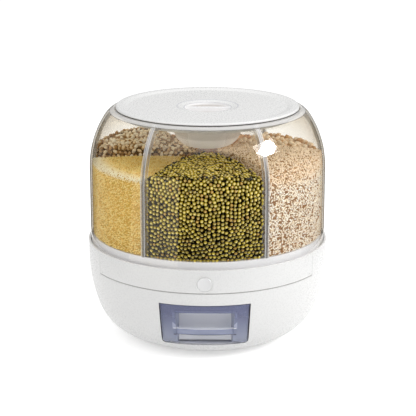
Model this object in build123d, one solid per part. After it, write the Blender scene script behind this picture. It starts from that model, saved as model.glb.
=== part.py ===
from build123d import *
import math
import os

os.makedirs("parts", exist_ok=True)

# Six-compartment grain dispenser. Lengths are millimetres and angles are degrees.
# +Z is up, the front faces -Y, and the origin is the middle of the plane that the feet stand on.

# Cuts run past a face by this much, and joined pieces of one moulding sink in by that much
overrun = 2.0
sink = 0.4

# Clearances: moulded pieces that are seated, pieces that slide or turn past each other, running fits
seat_gap = 0.2
slide_gap = 0.4
running_gap = 0.05
press_gap = 0.02

# Base bowl
foot_proud = 2.0
base_height = 104.0
base_radius = 128.0
base_straight = 14.5
flank_radius = 165.0
heel_radius = 53.0
base_wall = 2.0
deck_seat_reach = 6.0
deck_seat_thickness = 2.0

# Front panel
fascia_height = 24.7
fascia_half_angle = 60.0
fascia_wall = 2.0
fascia_gap = 0.35
backing_wall = 1.8
backing_overlap = 4.0
hook_angle = 34.0
hook_width = 9.0
hook_height = 2.5
hook_reach = 4.0
hook_lip = 2.0
hook_rise = 6.0
dimple_radius = 0.8
dimple_angle = 57.5
dimple_rise = 3.2
dimple_depth = 0.9

# Deck and what the barrel turns on
deck_drop = 4.4
deck_thickness = 2.2
glide_thickness = 0.9
glide_inset = 15.4
glide_width = 6.0
spindle_radius = 5.0
spindle_boss_radius = 10.0
spindle_boss_depth = 10.0
spindle_hole_depth = 14.0
washer_radius = 8.5
washer_thickness = 1.2

# Barrel
rim_gap = 0.6
barrel_wall = 2.2
barrel_seat_drop = 1.6
barrel_straight = 77.6
shoulder_radius = 100.0
shoulder_sweep = 32.5
neck_radius = 28.0
neck_end = 60.0
mouth_step = 2.1
ledge_drop = 3.75
ledge_thickness = 2.2
ledge_reach = 4.5
compartments = 6

# Dividers, their guide ribs and the column
divider_thickness = 1.8
rib_thickness = 1.4
rib_depth = 3.6
column_radius = 13.0
column_wall = 2.4
column_round = 4.0
column_groove_depth = 1.0
divider_dip_gap = 5.0

# Floor of the barrel
floor_rise = 7.5
floor_plate = 2.4
floor_rim_wall = 2.0
floor_flange_inset = 0.2
floor_flange_lift = 0.3
hub_radius = 9.0
hub_rise = 7.5
outlet_inset = 47.4
outlet_radius = 14.0
well_radius = 28.0
well_wall = 2.0

# Lid
lid_rise = 3.2
lid_gap = 0.9
lid_plate = 2.4
lid_dish = 1.5
lid_bevel = 1.2
lid_rim_width = 7.0
lid_rim_slope = 6.0
lid_skirt_gap = 2.0
lid_skirt_wall = 2.0
lid_skirt_depth = 5.5
lid_divider_gap = 0.6
recess_radius = 33.0
recess_drop = 1.6
well_hole_radius = 24.5
grip_bar_width = 5.5
grip_bar_height = 4.0
seal_thickness = 1.3
seal_lip = 0.6
grip_cup_radius = 36.0
grip_cup_wall = 1.8
grip_cup_depth = 40.0
grip_cup_round = 19.0
grip_cup_flange = 3.0

# Heaps of grain: drop is from the mouth to the heap's peak, peak is how far that lies from the axis,
# sag is the fall from the peak to the barrel wall
fill_gap = 0.4
mung_bean_drop = 41.3
mung_bean_peak = 62.0
mung_bean_sag = 5.9
wheat_drop = 37.5
wheat_peak = 76.0
wheat_sag = 4.0
soybean_drop = 44.5
soybean_peak = 62.0
soybean_sag = 5.0
red_lentil_drop = 49.0
red_lentil_peak = 62.0
red_lentil_sag = 5.0
oat_drop = 40.8
oat_peak = 100.0
oat_sag = 0.5
millet_drop = 51.5
millet_peak = 62.0
millet_sag = 2.4

# Push button, shutter and outlet
button_drop = 14.5
button_radius = 7.6
button_length = 11.0
button_dish_radius = 34.0
button_dish_depth = 0.7
button_edge = 0.8
bezel_radius = 9.4
bezel_bevel = 0.9
bezel_wall = 1.25
bezel_length = 13.0
stem_radius = 4.0
stem_socket = 6.0
guide_half_width = 10.0
guide_thickness = 4.0
guide_setback = 25.5
button_travel = 10.0
slot_length = 24.0
slot_width = 9.0
shutter_half_width = 20.6
shutter_thickness = 2.1
shutter_tail = 7.5
shutter_tab = 2.0
shutter_tab_half_width = 7.0
rail_width = 11.0
rail_front = 10.0
rail_back = 18.0
outlet_seal_gap = 1.2
outlet_seal_width = 2.8
spring_radius = 5.6
spring_wire = 0.8

# Chute under the shutter
chute_flange = 2.0
chute_wall = 1.6
chute_ease = 0.5
chute_flange_front = 3.5
chute_foot_half_length = 15.0
chute_foot_half_width = 9.0
chute_foot_gap = 0.4

# Drawer window, drawer and the bay that it slides in
window_top_drop = 37.4
window_low_rise = 17.6
window_top_half = 46.7
window_low_half = 44.3
window_corner = 5.0
drawer_side_gap = 1.3
drawer_low_gap = 1.3
drawer_top_gap = 0.9
drawer_flush = 0.2
drawer_wall = 1.8
drawer_front_wall = 2.6
drawer_past_outlet = 54.0
drawer_channel = 2.2
drawer_runner = 7.0
drawer_floor = 2.0
pocket_front_half = 31.8
pocket_back_half = 26.5
pocket_top_drop = 6.6
pocket_slope = 8.0
pocket_depth = 27.0
grip_bar_low = 12.4
grip_lip_height = 7.6
grip_lip_thickness = 3.6
grip_lip_inset = 0.9
bay_wall = 2.0
bay_back_gap = 1.0

# Screws, posts and feet
post_radius = 5.0
post_circle_radius = 62.0
post_angles = (-20.0, 50.0, 130.0, 200.0)
boss_radius = 7.0
boss_height = 8.0
screw_shank = 1.95
screw_pilot_gap = 0.05
screw_hole_gap = 0.15
screw_head_radius = 3.7
screw_head_height = 2.8
screw_head_gap = 0.4
screw_floor = 4.0
screw_bite = 12.0
screw_slot_width = 1.0
screw_slot_share = 0.7
screw_slot_depth = 1.2
small_screw_shank = 1.45
small_screw_head = 2.8
small_screw_head_height = 1.8
small_screw_bite = 4.2
bay_post_x = 30.0
bay_post_front = 30.0
bay_post_back = 8.0
foot_radius = 9.0
foot_recess = 1.2
foot_edge = 0.8

# Heights worked out from the sizes above
rim_z = foot_proud + base_height
seam_z = rim_z - fascia_height
straight_z = rim_z - base_straight
deck_top_z = rim_z - deck_drop
deck_low_z = deck_top_z - deck_thickness
running_z = deck_top_z + glide_thickness
floor_top_z = rim_z + floor_rise
floor_low_z = floor_top_z - floor_plate
flange_low_z = running_z + floor_flange_lift
barrel_low_z = rim_z - barrel_seat_drop
shoulder_z = rim_z + barrel_straight
hub_top_z = floor_top_z + hub_rise
button_z = rim_z - button_drop

# Barrel outline: a cylinder, a long shoulder arc and a tighter neck arc, tangent to each other
barrel_radius = base_radius - base_wall - rim_gap
outlet_ring_radius = barrel_radius - outlet_inset
glide_radius = barrel_radius - glide_inset
shoulder_centre = (barrel_radius - shoulder_radius, shoulder_z)
neck_offset = shoulder_radius - neck_radius
neck_centre = (
    shoulder_centre[0] + neck_offset * math.cos(math.radians(shoulder_sweep)),
    shoulder_centre[1] + neck_offset * math.sin(math.radians(shoulder_sweep)),
)
mouth_z = neck_centre[1] + neck_radius * math.sin(math.radians(neck_end))
mouth_edge_radius = neck_centre[0] + neck_radius * math.cos(math.radians(neck_end))
mouth_radius = mouth_edge_radius - mouth_step
ledge_radius = mouth_radius - ledge_reach
ledge_top_z = mouth_z - ledge_drop
ledge_low_z = ledge_top_z - ledge_thickness
lid_radius = mouth_radius - lid_gap
lid_top_z = mouth_z + lid_rise
lid_under_z = ledge_top_z + seal_thickness
dish_z = lid_top_z - lid_dish
plate_under_z = dish_z - lid_plate
skirt_low_z = lid_under_z - lid_skirt_depth
divider_top_z = skirt_low_z - lid_divider_gap
grip_cup_low_z = plate_under_z - grip_cup_depth
column_top_z = grip_cup_low_z - divider_dip_gap

# Bowl outline: a straight wall, a long flank arc and a tighter heel arc, tangent to each other
flank_centre = (base_radius - flank_radius, straight_z)
heel_offset = flank_radius - heel_radius
flank_sweep = math.degrees(math.asin((straight_z - foot_proud - heel_radius) / heel_offset))
heel_centre = (
    flank_centre[0] + heel_offset * math.cos(math.radians(flank_sweep)),
    foot_proud + heel_radius,
)

# Drawer heights
window_top_z = rim_z - window_top_drop
window_low_z = foot_proud + window_low_rise
window_height = window_top_z - window_low_z
drawer_low_z = window_low_z + drawer_low_gap
drawer_top_z = window_top_z - drawer_top_gap
cup_under_z = drawer_low_z + drawer_channel
cup_floor_z = cup_under_z + drawer_floor

# Outlet and shutter places
outlet_y = -outlet_ring_radius
drawer_back_y = outlet_y + drawer_past_outlet
bay_post_front_y = drawer_back_y - bay_post_front
bay_post_back_y = drawer_back_y - bay_post_back
pocket_back_y = -base_radius + pocket_depth
guide_front_y = -base_radius + guide_setback
shutter_top_z = deck_low_z - slide_gap
shutter_low_z = shutter_top_z - shutter_thickness
rail_low_z = shutter_low_z - slide_gap
chute_low_z = rail_low_z - chute_flange
slot_front_y = outlet_y - slot_width / 2
guide_back_y = guide_front_y + guide_thickness
rest_slot_y = outlet_y - button_travel
button_back_y = -base_radius + button_length
bay_top_z = window_top_z + bay_wall
boss_top_z = foot_proud + base_wall + boss_height


def ring_point(radius, height):
    return Vector(radius, 0, height)


def arc(centre, radius, start, end):
    points = []
    for angle in (start, (start + end) / 2, end):
        turn = math.radians(angle)
        points.append(ring_point(centre[0] + radius * math.cos(turn), centre[1] + radius * math.sin(turn)))
    return ThreePointArc(*points)


def turned(edges):
    return revolve(Face(Wire(edges)), Axis.Z)


def turned_outline(points):
    corners = [ring_point(radius, height) for radius, height in points]
    return revolve(make_face(Polyline(*corners, close=True)), Axis.Z)


def disc(radius, low, high):
    return Pos(0, 0, low) * Cylinder(radius, high - low, align=(Align.CENTER, Align.CENTER, Align.MIN))


def band(inner, outer, low, high):
    return disc(outer, low, high) - disc(inner, low - overrun, high + overrun)


def block(x_low, x_high, y_low, y_high, z_low, z_high):
    middle = Pos((x_low + x_high) / 2, (y_low + y_high) / 2, (z_low + z_high) / 2)
    return middle * Box(x_high - x_low, y_high - y_low, z_high - z_low)


def rod(radius, y_low, y_high, height):
    bar = Cylinder(radius, y_high - y_low, align=(Align.CENTER, Align.CENTER, Align.MIN))
    return Pos(0, y_low, height) * Rot(-90, 0, 0) * bar


def bowl(inset, top):
    wall = base_radius - inset
    low = foot_proud + inset
    flank = arc(flank_centre, flank_radius - inset, 0, -flank_sweep)
    heel = arc(heel_centre, heel_radius - inset, -flank_sweep, -90)
    return turned([
        Line(ring_point(wall, top), ring_point(wall, straight_z)),
        flank,
        heel,
        Line(heel @ 1, ring_point(0, low)),
        Line(ring_point(0, low), ring_point(0, top)),
        Line(ring_point(0, top), ring_point(wall, top)),
    ])


def barrel_space(inset, low, high):
    wall = barrel_radius - inset
    shoulder = arc(shoulder_centre, shoulder_radius - inset, 0, shoulder_sweep)
    neck = arc(neck_centre, neck_radius - inset, shoulder_sweep, neck_end)
    top = (neck @ 1).Z
    space = turned([
        Line(ring_point(0, low), ring_point(wall, low)),
        Line(ring_point(wall, low), ring_point(wall, shoulder_z)),
        shoulder,
        neck,
        Line(neck @ 1, ring_point(0, top)),
        Line(ring_point(0, top), ring_point(0, low)),
    ])
    if high < top:
        space = space & disc(base_radius, low, high)
    return space


def grip_cup_space(outset, high):
    wall = grip_cup_radius + outset
    rounding = grip_cup_round + outset
    low = grip_cup_low_z - outset
    corner = arc((wall - rounding, low + rounding), rounding, -90, 0)
    return turned([
        Line(ring_point(0, low), corner @ 0),
        corner,
        Line(corner @ 1, ring_point(wall, high)),
        Line(ring_point(wall, high), ring_point(0, high)),
        Line(ring_point(0, high), ring_point(0, low)),
    ])


def sector(half_angle, low, high):
    reach = (base_radius + overrun) / math.cos(math.radians(half_angle))
    corners = [Vector(0, 0, low)]
    for side in (-1, 1):
        turn = math.radians(side * half_angle - 90)
        corners.append(Vector(reach * math.cos(turn), reach * math.sin(turn), low))
    return extrude(make_face(Polyline(*corners, close=True)), high - low, dir=(0, 0, 1))


def window_half(height):
    share = (height - window_low_z) / window_height
    return window_low_half + (window_top_half - window_low_half) * share


def window_prism(inset, low, high, front_y, back_y, corner):
    low_half = window_half(low) - inset
    high_half = window_half(high) - inset
    corners = [
        Vector(-low_half, front_y, low),
        Vector(low_half, front_y, low),
        Vector(high_half, front_y, high),
        Vector(-high_half, front_y, high),
    ]
    prism = extrude(make_face(Polyline(*corners, close=True)), back_y - front_y, dir=(0, 1, 0))
    lowest = prism.edges().filter_by(Axis.Y).sort_by(Axis.Z)[:2]
    return fillet(lowest, corner)


def grip_pocket(outset):
    low = drawer_low_z - overrun
    faces = []
    sections = (
        (-base_radius, pocket_front_half, drawer_top_z - pocket_top_drop),
        (pocket_back_y + outset, pocket_back_half, drawer_top_z - pocket_top_drop - pocket_slope),
    )
    for y, half, top in sections:
        corners = [
            Vector(-half - outset, y, low),
            Vector(half + outset, y, low),
            Vector(half + outset, y, top + outset),
            Vector(-half - outset, y, top + outset),
        ]
        faces.append(make_face(Polyline(*corners, close=True)))
    return loft(faces, ruled=True)


def screw(shank, bite, head, head_height):
    shape = disc(head, -head_height, 0) + disc(shank, -sink, bite)
    reach = head * screw_slot_share
    half = screw_slot_width / 2
    low = -head_height - overrun
    floor = screw_slot_depth - head_height
    cross = block(-reach, reach, -half, half, low, floor) + block(-half, half, -reach, reach, low, floor)
    return shape - cross


def around(radius, angle, height):
    turn = math.radians(angle)
    return Pos(radius * math.cos(turn), radius * math.sin(turn), height)


def divider_angles():
    step = 360 / compartments
    return [-90 + step / 2 + step * index for index in range(compartments)]


def post_places():
    return [around(post_circle_radius, angle, 0) for angle in post_angles]


def bay_post_places():
    return [Pos(side * bay_post_x, y, 0) for side in (-1, 1) for y in (bay_post_front_y, bay_post_back_y)]


def chute_screw_places():
    x = shutter_half_width + slide_gap + rail_width / 2
    front = slot_front_y
    back = outlet_y + rail_back - rail_width / 2
    return [Pos(side * x, y, 0) for side in (-1, 1) for y in (front, back)]


# Base: bowl, front panel and feet
def base_shell():
    backing_inset = fascia_wall + fascia_gap
    shell = bowl(0, rim_z) - bowl(base_wall, rim_z + overrun)
    backing = bowl(base_wall - sink, rim_z) - bowl(backing_inset + backing_wall, rim_z + overrun)
    backing_low = seam_z - backing_overlap
    seat_low = deck_low_z - deck_seat_thickness
    wider = fascia_half_angle + math.degrees(backing_overlap / base_radius)
    shell += backing & sector(wider, backing_low, seat_low + sink)
    inner = base_radius - base_wall
    shell += band(inner - deck_seat_reach, inner + sink, seat_low, deck_low_z)
    gap_angle = math.degrees(fascia_gap / base_radius)
    pocket = disc(base_radius + overrun, seam_z, rim_z + overrun) - bowl(backing_inset, rim_z + overrun)
    shell -= pocket & sector(fascia_half_angle + gap_angle, seam_z, rim_z + overrun)
    head_hole = screw_head_radius + screw_head_gap
    for place in post_places():
        shell += place * disc(boss_radius, foot_proud + base_wall - sink, boss_top_z)
        shell -= place * disc(foot_radius + seat_gap, foot_proud - overrun, foot_proud + foot_recess)
        shell -= place * disc(head_hole, foot_proud, boss_top_z - screw_floor)
        shell -= place * disc(screw_shank + screw_hole_gap, foot_proud, boss_top_z + overrun)
    for place in bay_post_places():
        shell += place * disc(boss_radius, foot_proud + base_wall - sink, boss_top_z)
        shell -= place * disc(head_hole, foot_proud - overrun, boss_top_z - screw_floor)
        shell -= place * disc(screw_shank + screw_hole_gap, foot_proud, boss_top_z + overrun)
    window_back = -math.sqrt(flank_window_radius() ** 2 - window_low_half ** 2) + window_corner + base_wall
    shell -= window_prism(0, window_low_z, window_top_z, -base_radius - overrun, window_back, window_corner)
    bore = bezel_radius + seat_gap
    shell -= rod(bore, -base_radius - overrun, -base_radius + bezel_length + deck_seat_reach, button_z)
    for side in (-1, 1):
        shell -= Rot(0, 0, side * hook_angle) * hook_block(slide_gap, backing_inset - overrun, hook_lip)
    return shell


def flank_window_radius():
    drop = (straight_z - window_low_z) / flank_radius
    if drop < math.sin(math.radians(flank_sweep)):
        return flank_centre[0] + flank_radius * math.cos(math.asin(drop))
    return heel_centre[0] + heel_radius * math.cos(math.asin((heel_centre[1] - window_low_z) / heel_radius))


def hook_block(gap, start_inset, lip):
    back = fascia_wall + fascia_gap + backing_wall + hook_reach
    half = hook_width / 2 + gap
    low = seam_z + hook_rise - gap - lip
    high = seam_z + hook_rise + hook_height + gap
    return block(-half, half, -base_radius + start_inset, -base_radius + back, low, high)


def front_fascia():
    panel = bowl(0, rim_z) - bowl(fascia_wall, rim_z + overrun)
    panel = panel & sector(fascia_half_angle, seam_z + fascia_gap, rim_z)
    panel -= rod(bezel_radius + seat_gap / 2, -base_radius - overrun, -base_radius / 2, button_z)
    behind = fascia_wall + fascia_gap + backing_wall + seat_gap
    for side in (-1, 1):
        hook = hook_block(0, fascia_wall - sink, 0)
        lip_top = seam_z + hook_rise + sink
        half = hook_width / 2
        far = fascia_wall + fascia_gap + backing_wall + hook_reach
        low = seam_z + hook_rise - hook_lip
        hook += block(-half, half, -base_radius + behind, -base_radius + far, low, lip_top)
        panel += Rot(0, 0, side * hook_angle) * hook
        dimple = rod(dimple_radius, -base_radius - overrun, -base_radius + dimple_depth, seam_z + dimple_rise)
        panel -= Rot(0, 0, side * dimple_angle) * dimple
    return panel


def rubber_feet():
    pad = disc(foot_radius, 0, foot_proud + foot_recess)
    pad = chamfer(pad.edges().group_by(Axis.Z)[0], foot_edge)
    return Compound([place * pad for place in post_places()])


def deck_screws():
    shape = screw(screw_shank, screw_bite, screw_head_radius, screw_head_height)
    seat = Pos(0, 0, boss_top_z - screw_floor)
    return Compound([place * seat * shape for place in post_places()])


def bay_screws():
    length = screw_bite / 2
    shape = screw(screw_shank, length, screw_head_radius, screw_head_height)
    seat = Pos(0, 0, boss_top_z - screw_floor)
    return Compound([place * seat * shape for place in bay_post_places()])


# Deck, spindle and seals
def deck():
    plate = disc(base_radius - base_wall - slide_gap, deck_low_z, deck_top_z)
    plate += disc(spindle_boss_radius, deck_low_z - spindle_boss_depth, deck_low_z + sink)
    plate -= disc(spindle_radius + press_gap, deck_low_z - spindle_boss_depth - overrun, deck_top_z + overrun)
    for place in post_places():
        post = disc(post_radius, boss_top_z, deck_low_z + sink)
        pilot_top = boss_top_z - screw_floor + screw_bite + overrun
        pilot = disc(screw_shank + screw_pilot_gap, boss_top_z - overrun, pilot_top)
        plate += place * (post - pilot)
    half = slot_length / 2
    wide = slot_width / 2
    inner = shutter_half_width + slide_gap
    for side in (-1, 1):
        near = side * inner
        far = side * (inner + rail_width)
        low_x = min(near, far)
        high_x = max(near, far)
        front = outlet_y - rail_front
        plate += block(low_x, high_x, front, outlet_y + rail_back, rail_low_z, deck_low_z + sink)
    pilot_low = rail_low_z - overrun
    for place in chute_screw_places():
        plate -= place * disc(small_screw_shank + screw_pilot_gap, pilot_low, rail_low_z + small_screw_bite)
    wall_low = button_z - stem_radius - guide_thickness
    side = guide_half_width
    plate += block(-side, side, guide_front_y, guide_back_y, wall_low, deck_low_z + sink)
    plate -= rod(stem_radius + running_gap, guide_front_y - overrun, guide_back_y + overrun, button_z)
    plate -= block(-half, half, outlet_y - wide, outlet_y + wide, deck_low_z - overrun, deck_top_z + overrun)
    notch = bezel_radius + slide_gap
    notch_back = -base_radius + bezel_length + slide_gap
    plate -= block(-notch, notch, -base_radius, notch_back, deck_low_z - overrun, deck_top_z + overrun)
    return plate


def glide_ring():
    return band(glide_radius - glide_width / 2, glide_radius + glide_width / 2, deck_top_z, running_z)


def spindle():
    top = hub_top_z + running_gap
    pin = disc(spindle_radius, deck_low_z - spindle_boss_depth, top)
    pin += disc(hub_radius, deck_top_z, running_z)
    return pin - disc(screw_shank + screw_pilot_gap, top - spindle_hole_depth, top + overrun)


def spindle_washer():
    low = hub_top_z + running_gap
    return band(screw_shank + screw_hole_gap, washer_radius, low, low + washer_thickness)


def spindle_screw():
    seat = hub_top_z + running_gap + washer_thickness
    shape = screw(screw_shank, screw_bite, screw_head_radius, screw_head_height)
    return Pos(0, 0, seat) * Rot(180, 0, 0) * shape


def outlet_seal():
    inner = outlet_radius + outlet_seal_gap
    return Pos(0, outlet_y, 0) * band(inner, inner + outlet_seal_width, deck_top_z, running_z)


# Barrel: shell with guide ribs, dividers, column and floor
def rib_slabs():
    near = divider_thickness / 2 + seat_gap
    far = near + rib_thickness
    slabs = []
    for angle in divider_angles():
        for low, high in ((near, far), (-far, -near)):
            slab = block(barrel_radius / 2, base_radius, low, high, floor_top_z, mouth_z)
            slabs.append(Rot(0, 0, angle) * slab)
    return slabs


def barrel_shell():
    shell = barrel_space(0, barrel_low_z, mouth_z)
    shell -= barrel_space(barrel_wall, barrel_low_z - overrun, ledge_low_z)
    shell -= disc(ledge_radius, ledge_low_z - overrun, mouth_z + overrun)
    shell -= disc(mouth_radius, ledge_top_z, mouth_z + overrun)
    rib_low = floor_top_z + seat_gap
    zone = barrel_space(barrel_wall - sink, rib_low, ledge_low_z + sink)
    zone -= barrel_space(barrel_wall + rib_depth, rib_low - overrun, mouth_z)
    for slab in rib_slabs():
        shell += zone & slab
    return shell


def divider():
    inner = column_radius - column_groove_depth + seat_gap
    half = divider_thickness / 2
    plate = block(inner, barrel_radius, -half, half, floor_top_z + seat_gap, divider_top_z)
    room = barrel_space(barrel_wall + seat_gap, floor_top_z, mouth_z)
    return (plate & room) - grip_cup_space(divider_dip_gap, mouth_z)


def centre_column():
    column = disc(column_radius, floor_top_z, column_top_z)
    column = fillet(column.edges().group_by(Axis.Z)[-1], column_round)
    column -= disc(column_radius - column_wall, floor_top_z - overrun, column_top_z - column_wall)
    half = divider_thickness / 2 + seat_gap
    inner = column_radius - column_groove_depth
    outer = column_radius + overrun
    groove = block(inner, outer, -half, half, floor_top_z - overrun, column_top_z + overrun)
    for angle in divider_angles():
        column -= Rot(0, 0, angle) * groove
    return column


def turntable_floor():
    rim = barrel_radius - barrel_wall - seat_gap
    rim_inner = rim - floor_rim_wall
    floor = disc(rim, floor_low_z, floor_top_z)
    floor += band(rim_inner, rim, flange_low_z, floor_top_z)
    floor += band(rim_inner, barrel_radius - floor_flange_inset, flange_low_z, barrel_low_z)
    glide_inner = glide_radius - glide_width / 2
    floor += band(glide_inner, glide_radius + glide_width / 2, running_z, floor_low_z + sink)
    floor += disc(hub_radius, running_z, hub_top_z)
    depth = floor_top_z - running_z
    lean = (well_radius - outlet_radius) / depth
    outer = Cone(outlet_radius + well_wall, well_radius + well_wall, depth)
    inner = Cone(outlet_radius - lean * overrun, well_radius + lean * overrun, depth + 2 * overrun)
    for angle in divider_angles():
        place = around(outlet_ring_radius, angle - 180 / compartments, running_z + depth / 2)
        floor += place * outer
        floor -= place * inner
    return floor - disc(spindle_radius + running_gap, running_z - overrun, hub_top_z + overrun)


def grain_fill(index, drop, peak, sag):
    step = 360 / compartments
    low = floor_top_z + fill_gap
    clear = divider_thickness / 2 + seat_gap + rib_thickness + fill_gap
    lean = math.radians(step / 2)
    tip = clear / math.sin(lean)
    reach = 2 * barrel_radius
    corners = [
        Vector(tip, 0, low),
        Vector(tip + reach * math.cos(lean), -reach * math.sin(lean), low),
        Vector(tip + reach * math.cos(lean), reach * math.sin(lean), low),
    ]
    wedge = extrude(make_face(Polyline(*corners, close=True)), mouth_z - low, dir=(0, 0, 1))
    wedge -= disc(column_radius + fill_gap, low - overrun, mouth_z + overrun)
    span = barrel_radius - peak
    ball = (span * span + sag * sag) / (2 * sag)
    heap = Pos(peak, 0, mouth_z - drop - ball) * Sphere(ball)
    fill = Rot(0, 0, -90 + step * index) * (wedge & heap)
    return fill & barrel_space(barrel_wall + fill_gap, low, mouth_z)


# Lid
def lid():
    edge = lid_radius
    well_top_z = dish_z - recess_drop
    skirt = ledge_radius - lid_skirt_gap
    cover = turned_outline([
        (well_hole_radius, well_top_z - lid_plate),
        (well_hole_radius, well_top_z),
        (recess_radius, dish_z),
        (edge - lid_rim_width - lid_rim_slope, dish_z),
        (edge - lid_rim_width, lid_top_z),
        (edge - lid_bevel, lid_top_z),
        (edge, lid_top_z - lid_bevel),
        (edge, lid_under_z),
        (skirt, lid_under_z),
        (skirt, skirt_low_z),
        (skirt - lid_skirt_wall, skirt_low_z),
        (skirt - lid_skirt_wall, plate_under_z),
        (recess_radius, plate_under_z),
    ])
    half = grip_bar_width / 2
    reach = well_hole_radius + sink
    return cover + block(-reach, reach, -half, half, well_top_z - grip_bar_height, well_top_z)


def lid_seal():
    inner = ledge_radius
    outer = lid_radius - seal_lip
    middle = (ledge_top_z + lid_under_z) / 2
    return turned_outline([
        (inner, ledge_top_z),
        (outer, ledge_top_z),
        (lid_radius, middle),
        (outer, lid_under_z),
        (inner, lid_under_z),
    ])


def lid_grip_cup():
    cup = grip_cup_space(0, plate_under_z) - grip_cup_space(-grip_cup_wall, plate_under_z + overrun)
    rim_low = plate_under_z - grip_cup_wall
    outer = grip_cup_radius + grip_cup_flange
    return cup + band(grip_cup_radius - sink, outer, rim_low, plate_under_z)


# Button, shutter, spring and chute
def button_bezel():
    front = -base_radius - overrun
    collar_back = -base_radius + fascia_wall + fascia_gap
    tube = button_radius + running_gap + bezel_wall
    ring = rod(bezel_radius, front, collar_back, button_z)
    ring += rod(tube, collar_back - sink, -base_radius + bezel_length, button_z)
    ring -= rod(button_radius + running_gap, front - overrun, -base_radius + bezel_length + overrun, button_z)
    mouth = button_radius + running_gap
    funnel = Cone(mouth + bezel_bevel + overrun, mouth, bezel_bevel + overrun)
    middle = -base_radius + bezel_bevel / 2 - overrun / 2
    ring -= Pos(0, middle, button_z) * Rot(-90, 0, 0) * funnel
    return ring & bowl(0, rim_z)


def dispense_button():
    cap = rod(button_radius, -base_radius, button_back_y, button_z)
    cap = chamfer(cap.edges().group_by(Axis.Y)[0], button_edge)
    dish_y = -base_radius + button_dish_depth - button_dish_radius
    cap -= Pos(0, dish_y, button_z) * Sphere(button_dish_radius)
    return cap - rod(stem_radius + press_gap, button_back_y - stem_socket, button_back_y + overrun, button_z)


def gate_slider():
    front = guide_back_y
    tail = outlet_y + slot_width / 2 + shutter_tail
    half = shutter_half_width
    plate = block(-half, half, front, tail, shutter_low_z, shutter_top_z)
    length = slot_length / 2
    wide = slot_width / 2
    low = shutter_low_z - overrun
    plate -= block(-length, length, rest_slot_y - wide, rest_slot_y + wide, low, shutter_top_z + overrun)
    tab = shutter_tab_half_width
    tab_low = button_z - stem_radius
    plate += block(-tab, tab, front, front + shutter_tab, tab_low, shutter_low_z + sink)
    return plate + rod(stem_radius, button_back_y - stem_socket + seat_gap, front + sink, button_z)


def button_spring():
    ring = rod(spring_radius, button_back_y, guide_front_y, button_z)
    inner = spring_radius - spring_wire
    return ring - rod(inner, button_back_y - overrun, guide_front_y + overrun, button_z)


def rectangle(half_x, half_y, height):
    corners = [
        Vector(-half_x, outlet_y - half_y, height),
        Vector(half_x, outlet_y - half_y, height),
        Vector(half_x, outlet_y + half_y, height),
        Vector(-half_x, outlet_y + half_y, height),
    ]
    return make_face(Polyline(*corners, close=True))


def outlet_chute():
    reach = shutter_half_width + slide_gap + rail_width
    front = slot_front_y - chute_flange_front
    flange = block(-reach, reach, front, outlet_y + rail_back, chute_low_z, rail_low_z)
    length = slot_length / 2 + chute_ease
    wide = slot_width / 2 + chute_ease
    low = bay_top_z + chute_foot_gap
    foot_length = chute_foot_half_length
    foot_width = chute_foot_half_width
    top = chute_low_z + sink
    outer_top = rectangle(length + chute_wall, wide + chute_wall, top)
    outer_low = rectangle(foot_length + chute_wall, foot_width + chute_wall, low)
    chute = flange + loft([outer_low, outer_top], ruled=True)
    chute -= loft([rectangle(foot_length, foot_width, low), rectangle(length, wide, top)], ruled=True)
    chute -= block(-length, length, outlet_y - wide, outlet_y + wide, chute_low_z, rail_low_z + overrun)
    for place in chute_screw_places():
        hole = small_screw_shank + screw_hole_gap
        chute -= place * disc(hole, chute_low_z - overrun, rail_low_z + overrun)
    return chute


def chute_screws():
    bite = chute_flange + small_screw_bite - sink
    shape = screw(small_screw_shank, bite, small_screw_head, small_screw_head_height)
    return Compound([place * Pos(0, 0, chute_low_z) * shape for place in chute_screw_places()])


# Drawer and its bay
def grain_drawer():
    front = -base_radius - overrun
    gap = drawer_side_gap
    body = window_prism(gap, drawer_low_z, drawer_top_z, front, drawer_back_y, window_corner - gap)
    body = body & bowl(drawer_flush, rim_z)
    inner = gap + drawer_wall
    top = drawer_top_z + overrun
    back = drawer_back_y - drawer_wall
    cavity = window_prism(inner, cup_floor_z, top, front, back, window_corner - gap)
    cavity = cavity & bowl(drawer_flush + drawer_front_wall, rim_z)
    cavity -= grip_pocket(drawer_wall)
    body -= cavity
    body -= grip_pocket(0)
    channel = window_low_half - gap - drawer_runner
    body -= block(-channel, channel, front, drawer_back_y + overrun, drawer_low_z - overrun, cup_under_z)
    outside = drawer_flush + grip_lip_inset
    lip = bowl(outside, rim_z) - bowl(outside + grip_lip_thickness, rim_z + overrun)
    low = drawer_low_z + grip_bar_low
    reach = pocket_front_half + drawer_wall / 2
    return body + (lip & block(-reach, reach, front, pocket_back_y, low, low + grip_lip_height))


def drawer_bay():
    front = -base_radius - overrun
    back = drawer_back_y + bay_back_gap
    corner = window_corner
    low = drawer_low_z
    liner = window_prism(-bay_wall, low - bay_wall, bay_top_z, front, back + bay_wall, corner + bay_wall)
    liner -= window_prism(0, low, window_top_z, front - overrun, back, corner)
    liner = liner & bowl(base_wall + seat_gap, rim_z)
    length = chute_foot_half_length + chute_ease
    wide = chute_foot_half_width + chute_ease
    high = bay_top_z + overrun
    liner -= block(-length, length, outlet_y - wide, outlet_y + wide, window_top_z - overrun, high)
    for place in bay_post_places():
        post = disc(post_radius, boss_top_z, low - bay_wall + sink)
        pilot = disc(screw_shank + screw_pilot_gap, boss_top_z - overrun, low - bay_wall)
        liner += place * (post - pilot)
    return liner


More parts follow.
